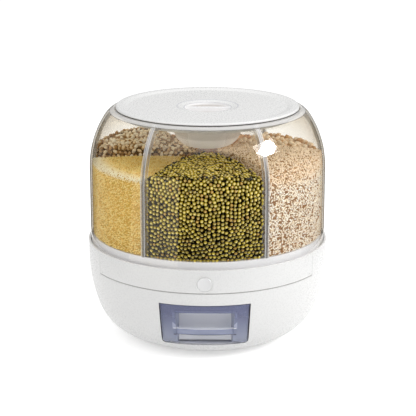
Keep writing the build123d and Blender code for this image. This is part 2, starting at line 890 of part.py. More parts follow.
nodes = {
    "base_shell": base_shell(),
    "front_fascia": front_fascia(),
    "rubber_feet": rubber_feet(),
    "deck": deck(),
    "deck_screws": deck_screws(),
    "glide_ring": glide_ring(),
    "spindle": spindle(),
    "spindle_washer": spindle_washer(),
    "spindle_screw": spindle_screw(),
    "outlet_seal": outlet_seal(),
    "outlet_chute": outlet_chute(),
    "chute_screws": chute_screws(),
    "drawer_bay": drawer_bay(),
    "bay_screws": bay_screws(),
    "button_bezel": button_bezel(),
    "dispense_button": dispense_button(),
    "gate_slider": gate_slider(),
    "button_spring": button_spring(),
    "grain_drawer": grain_drawer(),
    "barrel_shell": barrel_shell(),
    "centre_column": centre_column(),
    "turntable_floor": turntable_floor(),
    "lid": lid(),
    "lid_seal": lid_seal(),
    "lid_grip_cup": lid_grip_cup(),
}
plate = divider()
for number, angle in enumerate(divider_angles(), start=1):
    nodes[f"divider_{number}"] = Rot(0, 0, angle) * plate
fills = (
    ("mung_bean_fill", mung_bean_drop, mung_bean_peak, mung_bean_sag),
    ("wheat_fill", wheat_drop, wheat_peak, wheat_sag),
    ("soybean_fill", soybean_drop, soybean_peak, soybean_sag),
    ("red_lentil_fill", red_lentil_drop, red_lentil_peak, red_lentil_sag),
    ("oat_fill", oat_drop, oat_peak, oat_sag),
    ("millet_fill", millet_drop, millet_peak, millet_sag),
)
for index, (name, drop, peak, sag) in enumerate(fills):
    nodes[name] = grain_fill(index, drop, peak, sag)

for name, shape in nodes.items():
    export_step(shape, f"parts/{name}.step")
    print(name, len(shape.solids()), round(shape.volume))
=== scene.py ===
import math

import bmesh
import bpy
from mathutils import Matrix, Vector


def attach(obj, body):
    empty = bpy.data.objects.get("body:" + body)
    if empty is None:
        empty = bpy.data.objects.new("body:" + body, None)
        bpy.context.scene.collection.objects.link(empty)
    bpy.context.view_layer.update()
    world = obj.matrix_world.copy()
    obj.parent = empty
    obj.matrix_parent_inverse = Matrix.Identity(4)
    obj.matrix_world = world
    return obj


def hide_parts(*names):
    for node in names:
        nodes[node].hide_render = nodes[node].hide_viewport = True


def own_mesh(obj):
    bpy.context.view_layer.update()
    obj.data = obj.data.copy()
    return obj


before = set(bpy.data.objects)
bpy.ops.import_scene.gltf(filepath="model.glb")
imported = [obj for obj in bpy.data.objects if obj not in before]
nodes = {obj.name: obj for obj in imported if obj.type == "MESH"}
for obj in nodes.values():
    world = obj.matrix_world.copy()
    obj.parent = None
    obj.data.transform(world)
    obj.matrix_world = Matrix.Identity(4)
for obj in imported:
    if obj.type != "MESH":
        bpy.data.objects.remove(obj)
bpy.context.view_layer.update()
print("frame loaded")

# Node helpers, for shaders and for Geometry Nodes


def feed(tree, node, inputs):
    # each input, by its name or number, gets a link or a constant
    for key, value in inputs.items():
        if isinstance(value, bpy.types.NodeSocket):
            tree.links.new(value, node.inputs[key])
        else:
            node.inputs[key].default_value = value
    return node


def addNode(tree, kind, inputs=None, **values):
    node = tree.nodes.new(kind)
    for key, value in values.items():
        setattr(node, key, value)
    return feed(tree, node, inputs or {})


def maths(tree, operation, first, second=None, clamp=False):
    inputs = {0: first} if second is None else {0: first, 1: second}
    return addNode(tree, "ShaderNodeMath", inputs, operation=operation, use_clamp=clamp).outputs[0]


def rgba(colour):
    return (*colour, 1.0)


def newMaterial(name):
    material = bpy.data.materials.new(name)
    material.use_nodes = True
    material.node_tree.nodes.clear()
    return material, material.node_tree


def finished(material, shader):
    addNode(material.node_tree, "ShaderNodeOutputMaterial", {"Surface": shader.outputs[0]})
    return material


# Stage: camera, light and floor

cameraSettings = {
    "frameWidth": 416,
    "focalPixels": 1475.0,
    "sensorWidth": 36.0,
    "distance": 1.530,
    "height": 0.564,
    "pitch": 15.636,
    "azimuth": 1.35,       # stands a little to the right of the drawer
    "shiftPixels": 0.5,
}

lightSettings = {
    "target": 0.13,        # height on the axis that every lamp points at
    "shoulder": 0.22,      # height that key and fill are measured from
    "keyAzimuth": 64.5, "keyElevation": 26.6, "keyDistance": 1.30,
    "keyWidth": 0.52, "keyHeight": 0.32, "keyPower": 6.4,
    "topPlace": (0.05, -0.1, 1.5), "topSize": 1.2, "topPower": 4.2,
    "fillAzimuth": -48.0, "fillElevation": 38.0, "fillDistance": 1.7,
    "fillSize": 1.1, "fillPower": 4.0,
    "worldStrength": 0.65,
    "floorSize": 12.0, "floorColour": 0.86, "floorGlow": 0.50,
}

cardSettings = {
    # dark cloth that the barrel mirrors: from and to radius, and its heights
    "ring": (0.42, 1.9), "ringLift": 0.001, "drapeHeight": 1.3, "darkStrength": 0.02, "steps": 48,
    # pale wall behind, which the lid mirrors
    "backSpan": (105.0, 255.0), "backHeight": 0.32, "backStrength": 0.45, "backGap": 0.01,
    # glare on the barrel: which way each card lies and how bright it is
    "glare": (((-125.0, -70.0), 0.5), ((-70.0, -23.5), 1.9), ((59.0, 92.0), 0.6)),
    "glareRing": (0.42, 0.95), "glareLift": 0.002, "glareRise": 0.24,
    "glareColour": (1.0, 0.94, 0.80),
    # window of the key softbox as the shoulder mirrors it: corners across and up, in metres
    # from its middle
    "window": ((-0.27, -0.02), (-0.10, -0.17), (0.14, -0.16), (0.27, -0.03), (0.20, 0.13),
               (0.06, 0.16), (-0.08, 0.07)),
    "windowGap": 0.01, "windowStrength": 50.0,
}

white = (1.0, 1.0, 1.0)
fullTurn = (-180.0, 180.0)


def around(azimuth, elevation, distance, height):
    turn, lift = math.radians(azimuth), math.radians(elevation)
    flat = distance * math.cos(lift)
    rise = distance * math.sin(lift)
    return Vector((flat * math.sin(turn), -flat * math.cos(turn), height + rise))


def makeCamera(settings):
    data = bpy.data.cameras.new("camera")
    data.sensor_width = settings["sensorWidth"]
    data.lens = settings["focalPixels"] / settings["frameWidth"] * settings["sensorWidth"]
    data.shift_x = settings["shiftPixels"] / settings["frameWidth"]
    camera = bpy.data.objects.new("camera", data)
    bpy.context.collection.objects.link(camera)
    azimuth, pitch = settings["azimuth"], settings["pitch"]
    camera.location = around(azimuth, 0.0, settings["distance"], settings["height"])
    camera.rotation_euler = (math.radians(90.0 - pitch), 0.0, math.radians(azimuth))
    bpy.context.scene.camera = camera


def makeLamp(name, place, target, width, height, power):
    data = bpy.data.lights.new(name, "AREA")
    data.shape = "RECTANGLE"
    data.size = width
    data.size_y = height
    data.energy = power
    lamp = bpy.data.objects.new(name, data)
    bpy.context.collection.objects.link(lamp)
    lamp.location = place
    lamp.rotation_euler = (target - place).to_track_quat("-Z", "Y").to_euler()
    return lamp


def makeLamps(settings):
    target = Vector((0.0, 0.0, settings["target"]))
    key, fill = (around(settings[side + "Azimuth"], settings[side + "Elevation"],
                        settings[side + "Distance"], settings["shoulder"])
                 for side in ("key", "fill"))
    topSize, fillSize = settings["topSize"], settings["fillSize"]
    makeLamp("keySoftbox", key, target,
             settings["keyWidth"], settings["keyHeight"], settings["keyPower"])
    top = makeLamp("topSoftbox", Vector(settings["topPlace"]), target,
                   topSize, topSize, settings["topPower"])
    top.visible_glossy = False
    makeLamp("fillSoftbox", fill, target, fillSize, fillSize, settings["fillPower"])


def whiteWhereSeen(tree):
    # 1 for what is seen directly, in gloss or through clear walls, 0 for the light that falls
    # on things
    path = addNode(tree, "ShaderNodeLightPath").outputs
    seen = maths(tree, "MAXIMUM", path["Is Camera Ray"], path["Is Glossy Ray"])
    return maths(tree, "MAXIMUM", seen, path["Is Transmission Ray"])


def makeWorld(settings):
    world = bpy.data.worlds.new("studio")
    bpy.context.scene.world = world
    world.use_nodes = True
    tree = world.node_tree
    tree.nodes.clear()
    strength = addNode(tree, "ShaderNodeMapRange", {
        "Value": whiteWhereSeen(tree), "To Min": settings["worldStrength"], "To Max": 1.0})
    sky = addNode(tree, "ShaderNodeBackground", {
        "Color": rgba(white), "Strength": strength.outputs["Result"]})
    addNode(tree, "ShaderNodeOutputWorld", {"Surface": sky.outputs["Background"]})


def stageMesh(name, points, faces, material):
    mesh = bpy.data.meshes.new(name)
    mesh.from_pydata(points, [], faces)
    mesh.materials.append(material)
    thing = bpy.data.objects.new(name, mesh)
    bpy.context.collection.objects.link(thing)
    return thing


def makeFloor(settings):
    material, tree = newMaterial("paleFloor")
    lift = maths(tree, "MULTIPLY", whiteWhereSeen(tree), settings["floorGlow"])
    paint = addNode(tree, "ShaderNodeBsdfDiffuse", {"Color": rgba((settings["floorColour"],) * 3)})
    glow = addNode(tree, "ShaderNodeEmission", {"Strength": lift})
    both = addNode(tree, "ShaderNodeAddShader", {0: paint.outputs[0], 1: glow.outputs[0]})
    half = settings["floorSize"] / 2
    corners = [(-half, -half, 0), (half, -half, 0), (half, half, 0), (-half, half, 0)]
    stageMesh("floor", corners, [(0, 1, 2, 3)], finished(material, both))


def glowing(name, strength, colour=white):
    material, tree = newMaterial(name)
    glow = addNode(tree, "ShaderNodeEmission", {"Color": rgba(colour), "Strength": strength})
    return finished(material, glow)


def glossOnly(card):
    card.visible_camera = False
    card.visible_diffuse = False
    card.visible_transmission = False
    card.visible_shadow = False


def makeCard(name, span, near, far, strength, steps, colour=white):
    # card that only glossy surfaces mirror; near and far are (radius, height)
    points, faces = [], []
    for step in range(steps + 1):
        azimuth = span[0] + (span[1] - span[0]) * step / steps
        points += [around(azimuth, 0.0, radius, height) for radius, height in (near, far)]
        if step:
            faces.append((step * 2 - 2, step * 2 - 1, step * 2 + 1, step * 2))
    glossOnly(stageMesh(name, points, faces, glowing(name, strength, colour)))


def makeCards(settings):
    inner, outer = settings["ring"]
    low, high = settings["ringLift"], settings["drapeHeight"]
    dark, steps = settings["darkStrength"], settings["steps"]
    makeCard("darkRing", fullTurn, (inner, low), (outer, low), dark, steps)
    makeCard("darkDrape", fullTurn, (outer, low), (outer, high), dark, steps)
    wall = outer - settings["backGap"]
    makeCard("backCard", settings["backSpan"], (wall, settings["backHeight"]), (wall, high),
             settings["backStrength"], steps)
    inner, outer = settings["glareRing"]
    low, high, colour = settings["glareLift"], settings["glareRise"], settings["glareColour"]
    for number, (span, strength) in enumerate(settings["glare"]):
        for part, near, far in (("Wall", (outer, low), (outer, high)),
                                ("Card", (inner, low), (outer, low))):
            makeCard(f"glare{part}{number}", span, near, far, strength, steps, colour)


def makeWindow(settings, lamp):
    middle = around(lamp["keyAzimuth"], lamp["keyElevation"],
                    lamp["keyDistance"] - settings["windowGap"], lamp["shoulder"])
    inward = (Vector((0.0, 0.0, lamp["target"])) - middle).normalized()
    across = inward.cross(Vector((0.0, 0.0, 1.0))).normalized()
    upward = across.cross(inward)
    points = [middle + across * right + upward * up for right, up in settings["window"]]
    material = glowing("keyWindow", settings["windowStrength"])
    glossOnly(stageMesh("keyWindow", points, [tuple(range(len(points)))], material))


scene = bpy.context.scene
scene.view_settings.view_transform = "Standard"
scene.cycles.transparent_max_bounces = 32
makeCamera(cameraSettings)
makeLamps(lightSettings)
makeWorld(lightSettings)
makeFloor(lightSettings)
makeCards(cardSettings)
makeWindow(cardSettings, lightSettings)
print("stage set")

# Finishes: solid ones are cloudy between colour and shade, with a fine grain

solidLook = {
    "cloudSize": 14.0, "cloudDetail": 3.0, "fineDetail": 2.0,
    "roughSpread": 0.15, "bumpDepth": 0.0004, "shine": 0.5,
}
whitePlastic = {
    "colour": (0.83, 0.83, 0.82), "shade": (0.79, 0.79, 0.785),
    "roughness": 0.28, "grainSize": 900.0, "bump": 0.004,
}
panelPlastic = {
    **whitePlastic,
    # shadow line along the lower edge: from and to height, outside this radius
    "line": (0.0816, 0.0823), "lineRadius": 0.09, "lineTone": (0.36, 0.35, 0.34),
}
lidPlastic = {
    **whitePlastic,
    # shadow line at the foot of the lid
    "line": (0.2465, 0.2477), "lineRadius": 0.09, "lineTone": (0.09, 0.085, 0.08),
    # painted light: a lighter colour inside the shaded finger well
    "wellRadius": 0.0246, "wellPaintedLight": (0.97, 0.97, 0.98),
    # soft shadow lines round the recess and the finger well: from and to radius
    "rings": ((0.0318, 0.0330), (0.0245, 0.0254)), "ringTone": (0.56, 0.57, 0.60),
}
floorPlastic = {
    "colour": (0.90, 0.90, 0.92), "shade": (0.87, 0.87, 0.90),
    "roughness": 0.3, "grainSize": 900.0, "bump": 0.02,
}
buttonPlastic = {
    "colour": (0.84, 0.84, 0.84), "shade": (0.80, 0.80, 0.80),
    "roughness": 0.22, "grainSize": 1100.0, "bump": 0.015,
}
bayPlastic = {
    "colour": (0.82, 0.83, 0.87), "shade": (0.77, 0.78, 0.83),
    "roughness": 0.5, "grainSize": 700.0, "bump": 0.05,
}
slipperyPlastic = {
    "colour": (0.74, 0.74, 0.70), "shade": (0.68, 0.68, 0.65),
    "roughness": 0.45, "grainSize": 700.0, "bump": 0.04,
}
sealSilicone = {
    "colour": (0.60, 0.60, 0.62), "shade": (0.52, 0.52, 0.55),
    "roughness": 0.6, "grainSize": 800.0, "bump": 0.04,
}
footRubber = {
    "colour": (0.10, 0.10, 0.105), "shade": (0.07, 0.07, 0.075),
    "roughness": 0.8, "grainSize": 1200.0, "bump": 0.1,
}
turnedSteel = {
    "colour": (0.62, 0.62, 0.63), "shade": (0.50, 0.50, 0.52),
    "roughness": 0.3, "grainSize": 1500.0, "bump": 0.03, "metallic": 1.0,
}
# clear plastics: see is the colour let through from face on (0) to edge on (1), body is the
# colour of the milky share
clearLook = {"edgeBlend": 0.5, "milkyFrom": 0.6}
clearBarrel = {
    "see": ((0.0, (0.995, 0.994, 0.992)), (0.50, (0.99, 0.988, 0.982)),
            (0.72, (0.97, 0.96, 0.94)), (0.93, (0.76, 0.70, 0.61)), (1.0, (0.24, 0.17, 0.11))),
    # the shoulder's plastic looks deeper than the wall's, from and to this height
    "seeHigh": ((0.0, (0.965, 0.955, 0.93)), (0.25, (0.955, 0.943, 0.912)),
                (0.50, (0.94, 0.922, 0.885)), (0.72, (0.915, 0.892, 0.85)),
                (0.93, (0.86, 0.83, 0.77)), (1.0, (0.66, 0.60, 0.52))),
    "highSpan": (0.195, 0.225),
    "gloss": 0.015, "ior": 1.45, "body": (0.86, 0.86, 0.87), "bodyFace": 0.0, "bodyEdge": 0.05,
    # across a rib, as shares of the reach from the divider plane: how milky, and how light; the
    # white lines along each rib are painted highlights
    "rib": ((0.0, 0.75), (0.17, 0.75), (0.21, 0.38), (0.46, 0.38), (0.50, 0.80), (0.57, 0.80),
            (0.61, 0.0)),
    "ribTone": ((0.0, 0.14), (0.14, 0.20), (0.21, 0.46), (0.46, 0.46), (0.50, 0.90), (0.60, 0.90)),
    "ribPlanes": 3.0,      # each runs right across and holds two dividers
    # the ribs turn paler between two heights up the shoulder, as painted light
    "ribReach": 0.004, "ribLow": 0.1137, "ribPaintedLight": (0.195, 0.232), "ribPaintedLightShare": 0.65,
    # up the neck: how milky the mouth's rim is, with a grey line under it
    "neck": ((0.2, 0.0), (0.42, 0.0), (0.46, 0.50), (0.52, 0.50), (0.56, 0.60), (1.0, 0.60)),
    "neckTone": ((0.42, 0.14), (0.52, 0.14), (0.58, 0.84), (1.0, 0.84)),
    "neckSpan": (0.2415, 0.2465), "neckFrom": 0.02,
}
clearDivider = {
    "see": ((0.0, (0.985, 0.982, 0.976)), (0.6, (0.975, 0.97, 0.96)), (1.0, (0.60, 0.58, 0.56))),
    "gloss": 0.04, "ior": 1.40, "body": (0.86, 0.86, 0.87), "bodyFace": 0.01, "bodyEdge": 0.45,
}
gripFront = {"half": 0.0320, "front": -0.1300, "back": -0.1120}
tintedDrawer = {
    "see": ((0.0, (0.93, 0.94, 0.98)), (0.6, (0.90, 0.92, 0.97)), (1.0, (0.42, 0.45, 0.60))),
    "gloss": 0.03, "ior": 1.45, "bodyFace": 0.50, "bodyEdge": 0.66,
    "body": (0.51, 0.55, 0.70), "bodyHigh": (0.22, 0.24, 0.41), "highSpan": (0.022, 0.064),
    # parts of the grip with their own look, each a box in the drawer's frame: slopes, frosted back
    # lightened with painted light against the pocket's shade, shelf, a painted highlight along the
    # shelf's lip and a painted shadow line under it
    "patches": (
        {"half": 0.0330, "front": -0.1175, "back": -0.0960, "low": 0.040, "top": 0.0605,
         "body": (0.58, 0.62, 0.79), "share": 0.55},
        {"half": 0.0275, "front": -0.1030, "back": -0.0960, "low": 0.017, "top": 0.0530,
         "body": (0.88, 0.89, 0.93), "share": 0.80},
        {**gripFront, "low": 0.0333, "top": 0.0405, "body": (0.36, 0.40, 0.57), "share": 0.55},
        {**gripFront, "low": 0.0405, "top": 0.0414, "body": (0.95, 0.96, 1.0), "share": 0.80},
        {**gripFront, "low": 0.0326, "top": 0.0338, "body": (0.05, 0.05, 0.10), "share": 0.80},
    ),
}
frostedCup = {
    "colour": (0.96, 0.94, 0.92), "shade": (0.90, 0.88, 0.86),
    "roughness": 0.4, "grainSize": 500.0, "bump": 0.1,
    "show": 0.80, "through": (0.93, 0.93, 0.94),
    # painted light: the cup glows, more in the open cup than outside
    "glow": 0.03, "glowInside": 0.17, "innerRadius": 0.0346,
}


def objectNoise(tree, size, detail):
    place = addNode(tree, "ShaderNodeTexCoord").outputs["Object"]
    inputs = {"Scale": size, "Detail": detail, "Vector": place}
    return addNode(tree, "ShaderNodeTexNoise", inputs).outputs["Fac"]


def objectAxes(tree):
    place = addNode(tree, "ShaderNodeTexCoord").outputs["Object"]
    return addNode(tree, "ShaderNodeSeparateXYZ", {0: place}).outputs


def squaredRadius(tree, x, y):
    return maths(tree, "ADD", maths(tree, "MULTIPLY", x, x), maths(tree, "MULTIPLY", y, y))


def between(tree, value, low, high):
    above, below = maths(tree, "GREATER_THAN", value, low), maths(tree, "LESS_THAN", value, high)
    return maths(tree, "MULTIPLY", above, below)


def blend(tree, factor, first, second):
    # first and second are colours or links
    first, second = (rgba(tone) if isinstance(tone, tuple) else tone for tone in (first, second))
    inputs = {"Factor": factor, "A": first, "B": second}
    return addNode(tree, "ShaderNodeMix", inputs, data_type="RGBA").outputs["Result"]


def spreadOver(tree, value, low, high, fromLow=0.0, fromHigh=1.0):
    inputs = {"Value": value, "From Min": fromLow, "From Max": fromHigh,
              "To Min": low, "To Max": high}
    spread = addNode(tree, "ShaderNodeMapRange", inputs, interpolation_type="SMOOTHSTEP")
    return spread.outputs["Result"]


def ramp(tree, value, stops):
    # stops are (position, colour or grey value)
    node = addNode(tree, "ShaderNodeValToRGB", {"Fac": value})
    elements = node.color_ramp.elements
    while len(elements) < len(stops):
        elements.new(1.0)
    for element, (position, tone) in zip(elements, stops):
        element.position = position
    for element, (position, tone) in zip(elements, stops):
        element.color = rgba(tone if isinstance(tone, tuple) else (tone,) * 3)
    return node.outputs["Color"]


def bumped(tree, height, strength, depth):
    inputs = {"Strength": strength, "Distance": depth, "Height": height}
    return addNode(tree, "ShaderNodeBump", inputs).outputs["Normal"]


def solidShader(tree, finish):
    # moulded or turned surface: cloudy tone, fine surface grain in roughness and bump
    cloud = objectNoise(tree, solidLook["cloudSize"], solidLook["cloudDetail"])
    colour = blend(tree, cloud, finish["colour"], finish["shade"])
    if "line" in finish:
        x, y, z = objectAxes(tree)
        squared = squaredRadius(tree, x, y)
        outside = maths(tree, "GREATER_THAN", squared, finish["lineRadius"] ** 2)
        onLine = maths(tree, "MULTIPLY", between(tree, z, *finish["line"]), outside)
        colour = blend(tree, onLine, colour, finish["lineTone"])
    # painted light inside the finger well, and painted shadow lines round the recess and the well
    if "wellRadius" in finish:
        inWell = maths(tree, "LESS_THAN", squared, finish["wellRadius"] ** 2)
        colour = blend(tree, inWell, colour, finish["wellPaintedLight"])
        for inner, outer in finish["rings"]:
            onRing = between(tree, squared, inner ** 2, outer ** 2)
            colour = blend(tree, onRing, colour, finish["ringTone"])
    fine = objectNoise(tree, finish["grainSize"], solidLook["fineDetail"])
    rough, spread = finish["roughness"], solidLook["roughSpread"]
    return addNode(tree, "ShaderNodeBsdfPrincipled", {
        "Metallic": finish.get("metallic", 0.0),
        "Specular IOR Level": finish.get("shine", solidLook["shine"]),
        "Base Color": colour,
        "Roughness": spreadOver(tree, fine, rough * (1.0 - spread), rough * (1.0 + spread)),
        "Normal": bumped(tree, fine, finish["bump"], solidLook["bumpDepth"]),
    })


def solidMaterial(name, finish):
    material, tree = newMaterial(name)
    return finished(material, solidShader(tree, finish))


def ribbedBody(tree, finish, share):
    # milky guide ribs, by the distance from the nearest of the divider planes, and the milky
    # rim of the mouth
    x, y, z = objectAxes(tree)
    planes = finish["ribPlanes"]
    angle = maths(tree, "ARCTAN2", y, x)
    wave = maths(tree, "SINE", maths(tree, "MULTIPLY", angle, planes))
    radius = maths(tree, "SQRT", squaredRadius(tree, x, y))
    away = maths(tree, "MULTIPLY", maths(tree, "ABSOLUTE", wave), radius)
    away = maths(tree, "MULTIPLY", away, 1.0 / planes / finish["ribReach"])
    aboveFloor = maths(tree, "GREATER_THAN", z, finish["ribLow"])
    ribs = maths(tree, "MULTIPLY", ramp(tree, away, finish["rib"]), aboveFloor)
    low, high = finish["neckSpan"]
    up = maths(tree, "DIVIDE", maths(tree, "SUBTRACT", z, low), high - low)
    neck = ramp(tree, up, finish["neck"])
    onNeck = maths(tree, "GREATER_THAN", neck, finish["neckFrom"])
    # painted light: the ribs turn paler up on the shoulder
    palest = spreadOver(tree, z, 0.0, finish["ribPaintedLightShare"], *finish["ribPaintedLight"])
    tone = blend(tree, palest, ramp(tree, away, finish["ribTone"]), finish["body"])
    body = blend(tree, onNeck, tone, ramp(tree, up, finish["neckTone"]))
    return maths(tree, "MAXIMUM", share, maths(tree, "MAXIMUM", ribs, neck)), body


def drawerBody(tree, finish, share):
    # darker towards the top, and the patches of the grip
    x, y, z = objectAxes(tree)
    high = spreadOver(tree, z, 0.0, 1.0, *finish["highSpan"])
    body = blend(tree, high, finish["body"], finish["bodyHigh"])
    across = maths(tree, "ABSOLUTE", x)
    for patch in finish["patches"]:
        inside = maths(tree, "LESS_THAN", across, patch["half"])
        for value, least, most in ((y, "front", "back"), (z, "low", "top")):
            inside = maths(tree, "MULTIPLY", inside,
                           between(tree, value, patch[least], patch[most]))
        share = maths(tree, "MAXIMUM", share, maths(tree, "MULTIPLY", inside, patch["share"]))
        body = blend(tree, inside, body, patch["body"])
    return share, body


def clearMaterial(name, finish):
    # lets light straight through, darker and milkier where the wall is seen on edge, and
    # mirrors by Fresnel
    material, tree = newMaterial(name)
    facing = addNode(tree, "ShaderNodeLayerWeight", {"Blend": clearLook["edgeBlend"]})
    edge = facing.outputs["Facing"]
    seen = ramp(tree, edge, finish["see"])
    if "seeHigh" in finish:
        high = spreadOver(tree, objectAxes(tree)[2], 0.0, 1.0, *finish["highSpan"])
        seen = blend(tree, high, seen, ramp(tree, edge, finish["seeHigh"]))
    share = spreadOver(tree, edge, finish["bodyFace"], finish["bodyEdge"], clearLook["milkyFrom"])
    colour = rgba(finish["body"])
    if "rib" in finish:
        share, colour = ribbedBody(tree, finish, share)
    elif "patches" in finish:
        share, colour = drawerBody(tree, finish, share)
    wall = addNode(tree, "ShaderNodeBsdfTransparent", {"Color": seen}).outputs[0]
    body = addNode(tree, "ShaderNodeBsdfDiffuse", {"Color": colour}).outputs[0]
    milky = addNode(tree, "ShaderNodeMixShader", {"Fac": share, 1: wall, 2: body}).outputs[0]
    gloss = addNode(tree, "ShaderNodeBsdfGlossy", {"Roughness": finish["gloss"]}).outputs[0]
    fresnel = addNode(tree, "ShaderNodeFresnel", {"IOR": finish["ior"]}).outputs[0]
    back = addNode(tree, "ShaderNodeNewGeometry").outputs["Backfacing"]
    outside = maths(tree, "SUBTRACT", fresnel, back, clamp=True)
    both = addNode(tree, "ShaderNodeMixShader", {"Fac": outside, 1: milky, 2: gloss})
    return finished(material, both)


def frostedMaterial(name, finish):
    material, tree = newMaterial(name)
    x, y, z = objectAxes(tree)
    inside = maths(tree, "LESS_THAN", squaredRadius(tree, x, y), finish["innerRadius"] ** 2)
    # painted light: the cup glows, more strongly inside the open cup
    shader = feed(tree, solidShader(tree, finish), {
        "Emission Color": rgba(finish["colour"]),
        "Emission Strength": spreadOver(tree, inside, finish["glow"], finish["glowInside"]),
    })
    through = addNode(tree, "ShaderNodeBsdfTransparent", {"Color": rgba(finish["through"])})
    both = addNode(tree, "ShaderNodeMixShader", {
        "Fac": finish["show"], 1: through.outputs[0], 2: shader.outputs["BSDF"]})
    return finished(material, both)


finishes = {
    "white": solidMaterial("whiteGlossPlastic", whitePlastic),
    "panel": solidMaterial("panelPlastic", panelPlastic),
    "lid": solidMaterial("lidPlastic", lidPlastic),
    "floor": solidMaterial("floorPlastic", floorPlastic),
    "button": solidMaterial("buttonPlastic", buttonPlastic),
    "bay": solidMaterial("bayPlastic", bayPlastic),
    "slippery": solidMaterial("slipperyPlastic", slipperyPlastic),
    "seal": solidMaterial("sealSilicone", sealSilicone),
    "rubber": solidMaterial("footRubber", footRubber),
    "steel": solidMaterial("turnedSteel", turnedSteel),
    "clear": clearMaterial("clearBarrelPlastic", clearBarrel),
    "divider": clearMaterial("clearDividerPlastic", clearDivider),
    "drawer": clearMaterial("tintedDrawerPlastic", tintedDrawer),
    "frosted": frostedMaterial("frostedCupPlastic", frostedCup),
}

nodeFinish = {
    "base_shell": "white", "front_fascia": "panel", "deck": "white", "outlet_chute": "white",
    "button_bezel": "white", "turntable_floor": "floor", "lid": "lid",
    "dispense_button": "button", "drawer_bay": "bay", "glide_ring": "slippery",
    "gate_slider": "slippery", "outlet_seal": "seal", "lid_seal": "seal",
    "rubber_feet": "rubber", "deck_screws": "steel", "bay_screws": "steel",
    "chute_screws": "steel", "spindle": "steel", "spindle_washer": "steel",
    "spindle_screw": "steel", "button_spring": "steel", "grain_drawer": "drawer",
    "barrel_shell": "clear", "centre_column": "divider", "lid_grip_cup": "frosted",
}
nodeFinish.update({f"divider_{number}": "divider" for number in range(1, 7)})
for name, finish in nodeFinish.items():
    nodes[name].data.materials.clear()
    nodes[name].data.materials.append(finishes[finish])
print("finishes made")

# Geometry Nodes helpers


def newTree(name, sockets):
    # sockets are kinds with the names of the inputs of that kind
    tree = bpy.data.node_groups.new(name, "GeometryNodeTree")
    for kind, labels in sockets.items():
        for label in labels:
            tree.interface.new_socket(label, in_out="INPUT", socket_type="NodeSocket" + kind)
    tree.interface.new_socket("Geometry", in_out="OUTPUT", socket_type="NodeSocketGeometry")
    return tree


def vectors(tree, operation, first, second=None, scale=None):
    inputs = {0: first, 1: second, "Scale": scale}
    inputs = {key: value for key, value in inputs.items() if value is not None}
    result = "Value" if operation in ("LENGTH", "DOT_PRODUCT") else "Vector"
    return addNode(tree, "ShaderNodeVectorMath", inputs, operation=operation).outputs[result]


def growMesh(piece, name, tree, values):
    # runs the tree on the piece and keeps the result as a plain mesh
    modifier = piece.modifiers.new(name, "NODES")
    modifier.node_group = tree
    for item in tree.interface.items_tree:
        if item.in_out == "INPUT" and item.name in values:
            modifier[item.identifier] = values[item.name]
    bpy.context.view_layer.update()
    graph = bpy.context.evaluated_depsgraph_get()
    mesh = bpy.data.meshes.new_from_object(
        piece.evaluated_get(graph), preserve_all_data_layers=True, depsgraph=graph)
    piece.modifiers.clear()
    piece.data = mesh
